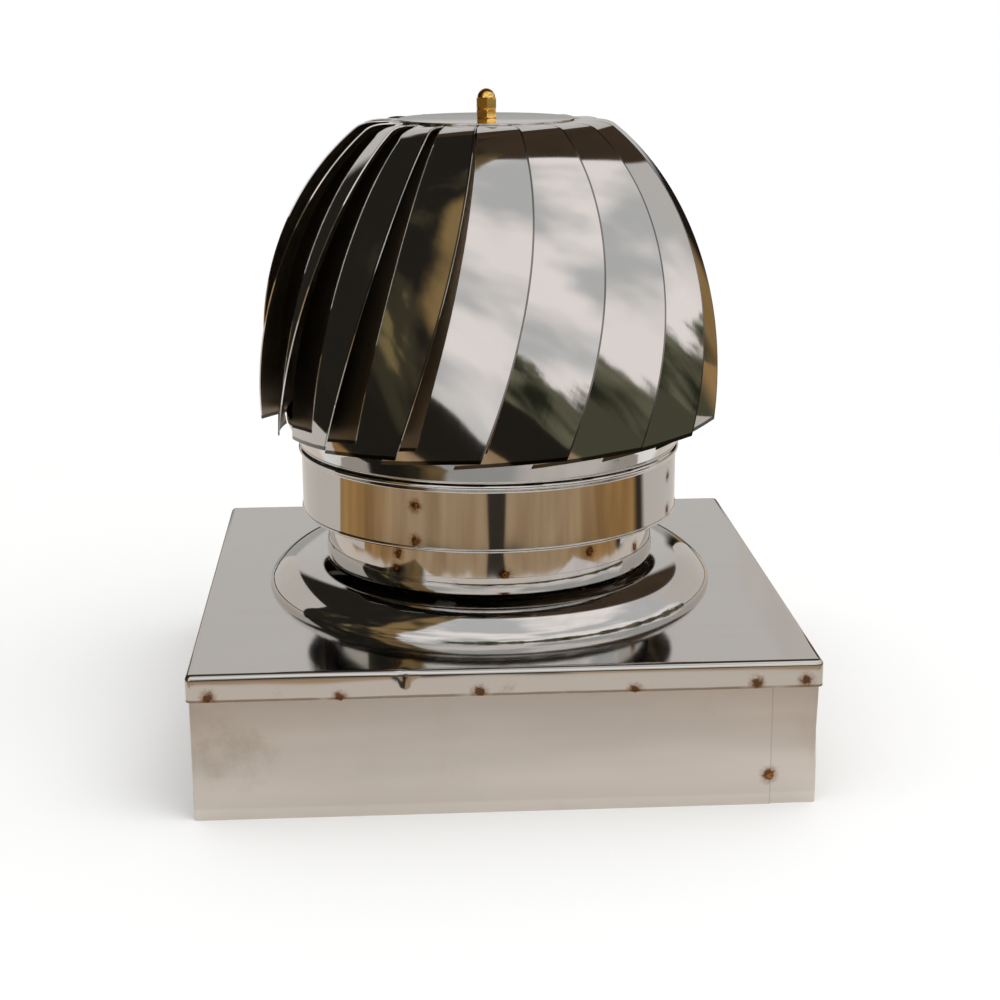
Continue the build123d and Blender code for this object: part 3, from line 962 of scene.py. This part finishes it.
def blade_ring_tree():
    """Repeats one blade round the axis and gives each its own tone."""
    inputs = {
        "Count": ("NodeSocketInt", 18),
        "Seed": ("NodeSocketInt", 4),
        "Material": ("NodeSocketMaterial", None),
    }
    tree = instance_tree("blade_ring", inputs)
    source = tree.nodes.new("NodeGroupInput").outputs
    line = tree_node(tree, "GeometryNodeMeshLine", sockets={"Count": source["Count"], "Offset": (0, 0, 0)})
    index = tree_node(tree, "GeometryNodeInputIndex")
    pitch = tree_node(tree, "ShaderNodeMath", {"operation": "DIVIDE"}, {0: math.tau, 1: source["Count"]})
    sockets = {0: index.outputs[0], 1: pitch.outputs[0]}
    turn = tree_node(tree, "ShaderNodeMath", {"operation": "MULTIPLY"}, sockets)
    spin = tree_node(tree, "ShaderNodeCombineXYZ", sockets={"Z": turn.outputs[0]})
    sockets = {"Points": line.outputs[0], "Instance": source["Geometry"], "Rotation": spin.outputs[0]}
    placed = tree_node(tree, "GeometryNodeInstanceOnPoints", sockets=sockets)
    tone = tree_node(tree, "FunctionNodeRandomValue", {"data_type": "FLOAT"}, {"Seed": source["Seed"]})
    sockets = {"Geometry": placed.outputs[0], "Name": "blade_tone", "Value": tone.outputs[1]}
    settings = {"data_type": "FLOAT", "domain": "INSTANCE"}
    stored = tree_node(tree, "GeometryNodeStoreNamedAttribute", settings, sockets)
    close_tree(tree, stored.outputs[0], source["Material"])
    return tree


class COWL_OT_blades(bpy.types.Operator):
    """Make the dome's overlapping blades"""

    bl_idname = "cowl.blades"
    bl_label = "Blades"

    def execute(self, context):
        scene = context.scene
        dome = Dome(scene.cowl_base, scene.cowl_head)
        grid = [dome.across(*row) for row in dome.rows()]
        mesh = closed_mesh("dome_blades", *folded_sheet(grid, scene.cowl_base.sheet), degrees=40)
        self.map_blade(mesh, grid)
        material = blade_steel(scene.cowl_finishes.polished)
        blades = add_object(mesh)
        values = {"Count": scene.cowl_head.blade_count, "Seed": 4, "Material": material}
        grown(blades, blade_ring_tree(), values)
        finish_piece(blades, "rotor", "polished_steel", material, *BLADES)
        return {"FINISHED"}

    def map_blade(self, mesh, grid):
        """A map in metres: across from the blade's outer edge, shifted by side, and along from its foot."""
        columns = len(grid[0])
        total = len(grid) * columns
        run = [0.0]
        for row, above in zip(grid[:0:-1], grid[-2::-1]):
            run.append(run[-1] + (above[-1] - row[-1]).length)
        places = []
        for row, along in zip(grid, reversed(run)):
            places += [((point - row[-1]).length, along) for point in row]
        layer = mesh.uv_layers.new(name="blade_map")
        for face in mesh.polygons:
            sides = [corner // total for corner in face.vertices]
            shift = INSIDE_SHIFT if min(sides) else EDGE_SHIFT if max(sides) else 0.0
            for loop in face.loop_indices:
                across, along = places[mesh.loops[loop].vertex_index % total]
                layer.data[loop].uv = (across + shift, along)


class COWL_OT_crown(bpy.types.Operator):
    """Make the crown disc and the two brass nuts"""

    bl_idname = "cowl.crown"
    bl_label = "Crown"
    sides = 72

    def execute(self, context):
        head = context.scene.cowl_head
        colours = context.scene.cowl_finishes
        corners = [
            (head.stud_radius, head.crown_height, 0),
            (head.disc_radius, head.crown_height, 0.0003),
            (head.disc_radius, head.disc_top, 0.0005),
            (head.stud_radius, head.disc_top, 0),
        ]
        material = polished_steel("disc_steel", colours.polished, colours.scorch, [], 0.0005)
        disc = add_object(turned("crown_sheet", rounded(corners)))
        finish_piece(disc, "rotor", "polished_steel", material, "crown_disc")
        brass = turned_metal("nut_brass", colours.brass, 0.09, 0.2)
        mesh = self.nut_mesh("crown_lock_nut", self.lock_loops(head))
        finish_piece(add_object(mesh), "rotor", "brass", brass, "lock_nut")
        mesh = self.nut_mesh("crown_cap_nut", self.cap_loops(head))
        finish_piece(add_object(mesh), "rotor", "brass", brass, "cap_nut")
        return {"FINISHED"}

    def lock_loops(self, head):
        """Loops round the open nut, ending where they start."""
        low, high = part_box("lock_nut")
        foot = self.circle(head.stud_radius, low.z)
        return [foot, *self.hexagon(head, low.z, high.z), self.circle(head.stud_radius, high.z), foot]

    def cap_loops(self, head, steps=12):
        """Loops of the cap nut from the end of its blind hole to the top of its dome."""
        low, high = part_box("cap_nut")
        middle = high.z - head.cap_dome
        hole_end = low.z + head.cap_bore
        hole = [(0, hole_end), (head.stud_radius, hole_end), (head.stud_radius, low.z)]
        loops = [self.circle(radius, height) for radius, height in hole]
        loops += self.hexagon(head, low.z, middle)
        for number in range(steps):
            turn = math.pi / 2 * number / steps
            loops.append(self.circle(head.cap_dome * math.cos(turn), middle + head.cap_dome * math.sin(turn)))
        return loops + [self.circle(0, high.z)]

    def circle(self, radius, height):
        """A loop round the axis."""
        return [polar(radius, math.tau * number / self.sides, height) for number in range(self.sides)]

    def hexagon(self, head, bottom, top):
        """Loops of a hexagon whose corners are turned off at both ends."""
        flat = head.nut_flats / 2
        face_radius = flat * 0.97
        slope = 1.7
        loops = []
        for share in (0, 0.03, 0.06, 0.1, 0.15, 0.5, 0.85, 0.9, 0.94, 0.97, 1):
            height = bottom + share * (top - bottom)
            limit = face_radius + min(height - bottom, top - height) * slope
            loop = []
            for number in range(self.sides):
                turn = math.tau * number / self.sides
                side = (turn + math.pi / 6) % (math.pi / 3) - math.pi / 6
                loop.append(polar(min(flat / math.cos(side), limit), turn + math.pi / 2, height))
            loops.append(loop)
        return loops

    def nut_mesh(self, name, loops):
        """A nut's closed mesh from its loops."""
        points = [point for loop in loops for point in loop]
        return closed_mesh(name, points, sheet_faces(len(loops), self.sides, True), degrees=24)


class COWL_OT_bearing(bpy.types.Operator):
    """Give the bearing parts inside the neck and head their metals"""

    bl_idname = "cowl.bearing"
    bl_label = "Bearing"

    def execute(self, context):
        colours = context.scene.cowl_finishes
        plain = turned_metal("bar_steel", colours.plain, 0.3, 0.5)
        bronze = turned_metal("bush_bronze", colours.bronze, 0.38, 0.5)
        bars = ["spindle", "retaining_nut", "ring_spider", "hub_collar", "backing_washer", "bearing_housing"]
        for names, material in ((bars + ARMS, plain), (["upper_bush", "lower_bush"], bronze)):
            for name in names:
                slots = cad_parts[name].data.materials
                slots.clear()
                slots.append(material)
        return {"FINISHED"}


def weld_tree():
    """Sets a low, uneven bead on every point, square to the sheet it sits on."""
    inputs = {
        "Size": ("NodeSocketFloat", 0.002),
        "Seed": ("NodeSocketInt", 7),
        "Material": ("NodeSocketMaterial", None),
    }
    tree = instance_tree("tack_welds", inputs)
    source = tree.nodes.new("NodeGroupInput").outputs
    ball = tree_node(tree, "GeometryNodeMeshIcoSphere", sockets={"Radius": source["Size"], "Subdivisions": 3})
    place = tree_node(tree, "GeometryNodeInputPosition")
    sockets = {"Vector": place.outputs[0], "Scale": 700.0}
    rough = tree_node(tree, "ShaderNodeTexNoise", {"noise_dimensions": "3D"}, sockets)
    sockets = {0: rough.outputs[0], 1: 0.7, 2: 0.6}
    lump = tree_node(tree, "ShaderNodeMath", {"operation": "MULTIPLY_ADD"}, sockets)
    sockets = {0: place.outputs[0], "Scale": lump.outputs[0]}
    moved = tree_node(tree, "ShaderNodeVectorMath", {"operation": "SCALE"}, sockets)
    sockets = {"Geometry": ball.outputs[0], "Position": moved.outputs[0]}
    uneven = tree_node(tree, "GeometryNodeSetPosition", sockets=sockets)
    sockets = {"Geometry": uneven.outputs[0], "Scale": (1, 1, 0.22)}
    low = tree_node(tree, "GeometryNodeTransform", sockets=sockets)
    settings = {"data_type": "FLOAT_VECTOR"}
    out = tree_node(tree, "GeometryNodeInputNamedAttribute", settings, {"Name": "face_out"})
    aim = tree_node(tree, "FunctionNodeAlignRotationToVector", {"axis": "Z"}, {"Vector": out.outputs[0]})
    sockets = {2: 0.8, 3: 1.15, "Seed": source["Seed"]}
    spread = tree_node(tree, "FunctionNodeRandomValue", {"data_type": "FLOAT"}, sockets)
    sockets = {
        "Points": source["Geometry"],
        "Instance": low.outputs[0],
        "Rotation": aim.outputs[0],
        "Scale": spread.outputs[1],
    }
    placed = tree_node(tree, "GeometryNodeInstanceOnPoints", sockets=sockets)
    close_tree(tree, placed.outputs[0], source["Material"])
    return tree


class COWL_OT_welds(bpy.types.Operator):
    """Make the brown tack welds on the base and on the skirt ring"""

    bl_idname = "cowl.welds"
    bl_label = "Tack welds"

    def execute(self, context):
        base = context.scene.cowl_base
        head = context.scene.cowl_head
        material = weld_metal(context.scene.cowl_finishes.scorch)
        tree = weld_tree()
        fixed = rim_welds(base) + seam_welds(base) + neck_welds(base)
        for name, body, slot, spots in (
            ("base_tack_welds", "base", "plain_steel", fixed),
            ("ring_tack_welds", "rotor", "plain_steel", ring_welds(head)),
        ):
            mesh = bpy.data.meshes.new(name)
            mesh.from_pydata([tuple(spot) for spot, _ in spots], [], [])
            ways = mesh.attributes.new("face_out", "FLOAT_VECTOR", "POINT")
            ways.data.foreach_set("vector", [part for _, way in spots for part in way])
            welds = add_object(mesh)
            grown(welds, tree, {"Size": head.weld_size, "Seed": 7, "Material": material})
            smooth(welds.data, 60)
            finish_piece(welds, body, slot, material)
        return {"FINISHED"}


def flat_mesh(name, corners):
    """A mesh of one four-cornered face."""
    mesh = bpy.data.meshes.new(name)
    mesh.from_pydata(corners, [], [(0, 1, 2, 3)])
    return mesh


def level_square(name, half, height):
    """A level square round the axis."""
    corners = [(-half, -half, height), (half, -half, height), (half, half, height), (-half, half, height)]
    return flat_mesh(name, corners)


class COWL_OT_stage(bpy.types.Operator):
    """Make the pale floor, the studio's light and flags, and the camera"""

    bl_idname = "cowl.stage"
    bl_label = "Stage"
    card_strength = 1.15

    def execute(self, context):
        scene = context.scene
        settings = scene.cowl_stage
        scene.view_settings.view_transform = "Standard"
        self.make_world(scene)
        self.make_floor(settings)
        self.make_lamp(scene)
        self.make_flags()
        self.make_camera(scene, settings)
        return {"FINISHED"}

    def make_world(self, scene):
        """An even white surrounding."""
        world = bpy.data.worlds.new("studio")
        world.use_nodes = True
        background = world.node_tree.nodes["Background"].inputs
        background["Color"].default_value = (1, 1, 1, 1)
        background["Strength"].default_value = 1.0
        scene.world = world

    def make_floor(self, settings):
        """A pale floor that keeps the object's shadow and fades to white far out."""
        finish = Finish("pale_floor")
        x, y, _ = finish.parts(finish.place())
        far = (x * x + y * y).step(0.25, 1.2)
        paths = finish.add("ShaderNodeLightPath")
        seen = paths["Is Camera Ray"].most(paths["Is Glossy Ray"]).most(paths["Is Transmission Ray"])
        matt = finish.add("ShaderNodeBsdfDiffuse", sockets={"Color": (*settings.floor_colour, 1)})[0]
        bright = finish.add("ShaderNodeEmission", sockets={"Color": (1, 1, 1, 1), "Strength": 1.0})[0]
        mixed = finish.add("ShaderNodeMixShader", sockets={0: far * seen, 1: matt, 2: bright})[0]
        finish.add("ShaderNodeOutputMaterial", sockets={"Surface": mixed})
        mesh = level_square("floor", 30, 0)
        mesh.materials.append(finish.material)
        add_object(mesh)

    def make_lamp(self, scene):
        """A broad soft lamp from the right front, which the metal doesn't mirror."""
        data = bpy.data.lights.new("soft_lamp", "AREA")
        data.energy = 14
        data.size = 1.6
        lamp = bpy.data.objects.new("soft_lamp", data)
        lamp.location = (1.1, -0.9, 2.2)
        lamp.rotation_euler = (lamp.location * -1).to_track_quat("-Z", "Y").to_euler()
        lamp.visible_glossy = False
        scene.collection.objects.link(lamp)

    def make_flags(self):
        """Grey, dark and coloured cards that only the metal sees, each at its own distance."""
        self.card(self.sky_card(), (-180, 180), (-1, 90), radius=3.4)
        self.card(self.top_flag(), (-180, 180), (15, 90), radius=3.2)
        self.card(self.left_flag(), (-175, -20), (-8, 84), radius=3.0)
        self.card(self.right_flag(), (95, 172), (-2, 30), radius=2.9)
        self.card(self.green_flag(), (-30, 150), (-3, 30), radius=2.8)
        self.floor_card()
        self.bounce_cards()

    def card(self, material, azimuths, elevations, radius, rows=25, columns=61):
        """A piece of a big ball round the object, between two azimuths and two elevations in degrees."""
        points = []
        for row in range(rows):
            rise = math.radians(elevations[0] + (elevations[1] - elevations[0]) * row / (rows - 1))
            for column in range(columns):
                turn = math.radians(azimuths[0] + (azimuths[1] - azimuths[0]) * column / (columns - 1))
                points.append(tuple(polar(radius * math.cos(rise), turn, radius * math.sin(rise))))
        mesh = bpy.data.meshes.new(material.name)
        mesh.from_pydata(points, [], sheet_faces(rows, columns, False))
        self.show_to_metal(mesh, material)

    def show_to_metal(self, mesh, material):
        """Puts a card on the stage for glossy rays alone."""
        mesh.materials.append(material)
        obj = add_object(mesh)
        obj.visible_camera = False
        obj.visible_diffuse = False
        obj.visible_shadow = False
        obj.visible_transmission = False
        obj.visible_volume_scatter = False

    def bearings(self, finish, point):
        """Azimuth and elevation of a point in degrees, seen from the object."""
        x, y, z = finish.parts(point)
        flat = (x * x + y * y) ** 0.5
        azimuth = x.join("ARCTAN2", x, -y) * math.degrees(1)
        elevation = z.join("ARCTAN2", z, flat) * math.degrees(1)
        return azimuth, elevation

    def glow(self, finish, tone, cover):
        """Ends a card's tree: its colour where cover is 1, nothing where it is 0."""
        clear = finish.add("ShaderNodeBsdfTransparent")[0]
        light = finish.add("ShaderNodeEmission", sockets={"Color": tone, "Strength": self.card_strength})[0]
        mixed = finish.add("ShaderNodeMixShader", sockets={0: cover, 1: clear, 2: light})[0]
        finish.add("ShaderNodeOutputMaterial", sockets={"Surface": mixed})
        return finish.material

    def sky_card(self):
        """A soft grey sky, brighter in slow clouds on the right."""
        finish = Finish("sky_card")
        point = finish.place()
        azimuth, elevation = self.bearings(finish, point)
        clouds = finish.noise(point, 0.55, stretch=(1, 1, 1.6), detail=3).step(0.42, 0.62)
        side = (azimuth - 25).size().step(95, 70)
        tone = finish.blend(elevation.step(15, 11), (0.55, 0.53, 0.52), (0.36, 0.355, 0.34))
        tone = finish.blend(side, tone, finish.blend(clouds, (0.53, 0.54, 0.55), (0.93, 0.88, 0.87)))
        return self.glow(finish, tone, 1.0)

    def left_flag(self):
        """A dark side with olive and gold shapes and an uneven gold stripe near its front edge."""
        finish = Finish("left_flag")
        point = finish.place()
        azimuth, elevation = self.bearings(finish, point)
        shapes = finish.noise(point, 1.5, stretch=(1, 1, 0.45), detail=4, roughness=0.55)
        front = azimuth.step(-112, -95)
        tone = finish.blend(shapes.step(0.50, 0.62) * front, (0.018, 0.016, 0.013), (0.046, 0.040, 0.024))
        tone = finish.blend(shapes.step(0.64, 0.70) * front * 0.7, tone, (0.26, 0.20, 0.09))
        wander = (finish.noise(point, 1.2, detail=4) - 0.5) * 12
        stripe = (azimuth + wander * 1.5).step(-70, -64) * finish.noise(point, 0.9, detail=2).step(0.35, 0.55)
        tone = finish.blend(stripe * 0.85, tone, (0.30, 0.20, 0.085))
        front_edge = (azimuth + wander).step(-46, -50)
        back_edge = (azimuth - elevation * 0.3 + wander * 0.1).step(-159, -154)
        return self.glow(finish, tone, front_edge * back_edge * elevation.step(82, 76))

    def green_flag(self):
        """A low dark green strip with a ragged top."""
        finish = Finish("green_flag")
        point = finish.place()
        azimuth, elevation = self.bearings(finish, point)
        wander = (finish.noise(point, 2.2, detail=5, roughness=0.6) - 0.5) * 24
        mottle = finish.noise(point, 4, detail=4).step(0.3, 0.7)
        tone = finish.blend(mottle, (0.016, 0.018, 0.011), (0.15, 0.145, 0.095))
        cover = (elevation + wander).step(11, 8) * azimuth.step(130, 120) * azimuth.step(-28, -22)
        return self.glow(finish, tone, cover)

    def right_flag(self):
        """A low gold strip on the right, black over its back part."""
        finish = Finish("right_flag")
        point = finish.place()
        azimuth, elevation = self.bearings(finish, point)
        tone = finish.blend(finish.noise(point, 2, detail=3), (0.16, 0.095, 0.036), (0.38, 0.24, 0.10))
        tone = finish.blend(elevation.step(3, 7) * azimuth.step(136, 142), tone, (0.012, 0.010, 0.008))
        cover = azimuth.step(112, 118) * azimuth.step(164, 160) * elevation.step(19, 15)
        return self.glow(finish, tone, cover)

    def top_flag(self):
        """A dark brown cap that leans backwards."""
        finish = Finish("top_flag")
        point = finish.place()
        x, y, z = finish.parts(point)
        azimuth, elevation = self.bearings(finish, point)
        rise = math.radians(58.6)
        axis = polar(math.cos(rise), math.radians(178), math.sin(rise))
        sockets = {0: point, 1: axis}
        along = finish.add("ShaderNodeVectorMath", {"operation": "DOT_PRODUCT"}, sockets)["Value"]
        near_axis = along / (x * x + y * y + z * z) ** 0.5
        cap = near_axis.step(math.cos(math.radians(41.5)), math.cos(math.radians(40.5)))
        tone = finish.blend(finish.noise(point, 1.2, detail=2), (0.030, 0.020, 0.013), (0.075, 0.050, 0.032))
        right = azimuth.step(20, 40) * azimuth.step(152, 146)
        return self.glow(finish, tone, cap * elevation.step(43, 46).most(right))

    def floor_card(self):
        """The floor that the metal sees: pale near the base, warm brown in front, dark far out."""
        finish = Finish("floor_card")
        point = finish.place()
        x, y, _ = finish.parts(point)
        azimuth, _ = self.bearings(finish, point)
        reach = (x * x + y * y) ** 0.5
        rays = finish.add("ShaderNodeCombineXYZ", sockets={0: azimuth * 0.03, 1: reach * 0.6})[0]
        streaks = finish.noise(rays, 2.5, detail=4, roughness=0.6).step(0.3, 0.7)
        grey = finish.blend(streaks, (0.29, 0.19, 0.11), (0.43, 0.32, 0.205))
        gold = finish.blend(streaks, (0.20, 0.105, 0.035), (0.42, 0.25, 0.10))
        brown = finish.blend((azimuth + 6).size().step(38, 80), grey, gold)
        stripe = (x - 0.01).size().step(0.075, 0.055) * y.step(0, -0.1)
        stripe = stripe.most(azimuth.step(-108, -113)).most(azimuth.step(86, 91))
        brown = finish.blend(stripe, brown, (0.035, 0.028, 0.022))
        dark = finish.blend(x.step(-0.1, 0.3), (0.016, 0.014, 0.011), (0.07, 0.07, 0.045))
        dark = finish.blend(azimuth.step(112, 120) * azimuth.step(158, 152), dark, (0.34, 0.21, 0.09))
        splash = (finish.noise(point, 7, detail=3) - 0.5) * 0.14
        ring = (reach + splash).step(0.585, 0.615) * azimuth.step(-121, -115) * azimuth.step(99, 93)
        wander = (finish.noise(point, 2.5, detail=4) - 0.5) * 0.3
        far = (reach + wander).step(0.86, 0.92)
        tone = finish.blend(far, finish.blend(ring, (0.62, 0.555, 0.495), brown), dark)
        material = self.glow(finish, tone, reach.step(0.34, 0.38))
        self.show_to_metal(level_square("floor_card", 9, 0.001), material)

    def bounce_cards(self):
        """Two low grey boards beside the lid that light the ends of the flare."""
        finish = Finish("bounce_card")
        tone = finish.blend(finish.noise(finish.place(), 5, detail=2), (0.50, 0.47, 0.44), (0.60, 0.57, 0.54))
        material = self.glow(finish, tone, 1.0)
        front, back = -0.045, 0.30
        low, high = 0.10, 0.205
        for name, x in (("left_bounce", -0.24), ("right_bounce", 0.24)):
            corners = [(x, front, low), (x, back, low), (x, back, high), (x, front, high)]
            self.show_to_metal(flat_mesh(name, corners), material)

    def make_camera(self, scene, settings):
        """The camera, set by its bearings from the object."""
        turn, rise, roll = settings.azimuth, settings.elevation, settings.roll
        back = polar(math.cos(rise), turn, math.sin(rise))
        right = Vector((math.cos(turn), math.sin(turn), 0))
        up = back.cross(right)
        side = right * math.cos(roll) + up * math.sin(roll)
        top = up * math.cos(roll) - right * math.sin(roll)
        place = back * settings.distance + right * settings.aim_right + Vector((0, 0, settings.aim_height))
        data = bpy.data.cameras.new("camera")
        data.lens = settings.lens
        data.sensor_width = 36
        data.clip_start = 0.05
        camera = bpy.data.objects.new("camera", data)
        camera.matrix_world = Matrix((side, top, back)).transposed().to_4x4()
        camera.location = place
        scene.collection.objects.link(camera)
        scene.camera = camera


OPERATORS = (
    COWL_OT_skirt,
    COWL_OT_lid,
    COWL_OT_neck,
    COWL_OT_ring,
    COWL_OT_blades,
    COWL_OT_crown,
    COWL_OT_bearing,
    COWL_OT_welds,
    COWL_OT_stage,
)


class COWL_PT_panel(bpy.types.Panel):
    """The cowl's pieces in the order they are made"""

    bl_idname = "COWL_PT_panel"
    bl_label = "Chimney cowl"
    bl_space_type = "VIEW_3D"
    bl_region_type = "UI"
    bl_category = "Cowl"

    def draw(self, context):
        for operator in OPERATORS:
            self.layout.operator(operator.bl_idname)


GROUPS = {
    "cowl_base": BaseSizes,
    "cowl_head": HeadSizes,
    "cowl_finishes": CowlFinishes,
    "cowl_stage": StageSettings,
}


def register():
    for group in GROUPS.values():
        bpy.utils.register_class(group)
    for name, group in GROUPS.items():
        setattr(bpy.types.Scene, name, PointerProperty(type=group))
    for kind in (*OPERATORS, COWL_PT_panel):
        bpy.utils.register_class(kind)


def unregister():
    for kind in (COWL_PT_panel, *reversed(OPERATORS)):
        bpy.utils.unregister_class(kind)
    for name, group in GROUPS.items():
        delattr(bpy.types.Scene, name)
        bpy.utils.unregister_class(group)


def main():
    register()
    bpy.ops.cowl.skirt()
    bpy.ops.cowl.lid()
    bpy.ops.cowl.neck()
    bpy.ops.cowl.ring()
    bpy.ops.cowl.blades()
    bpy.ops.cowl.crown()
    bpy.ops.cowl.bearing()
    bpy.ops.cowl.welds()
    bpy.ops.cowl.stage()


if __name__ == "__main__":
    main()
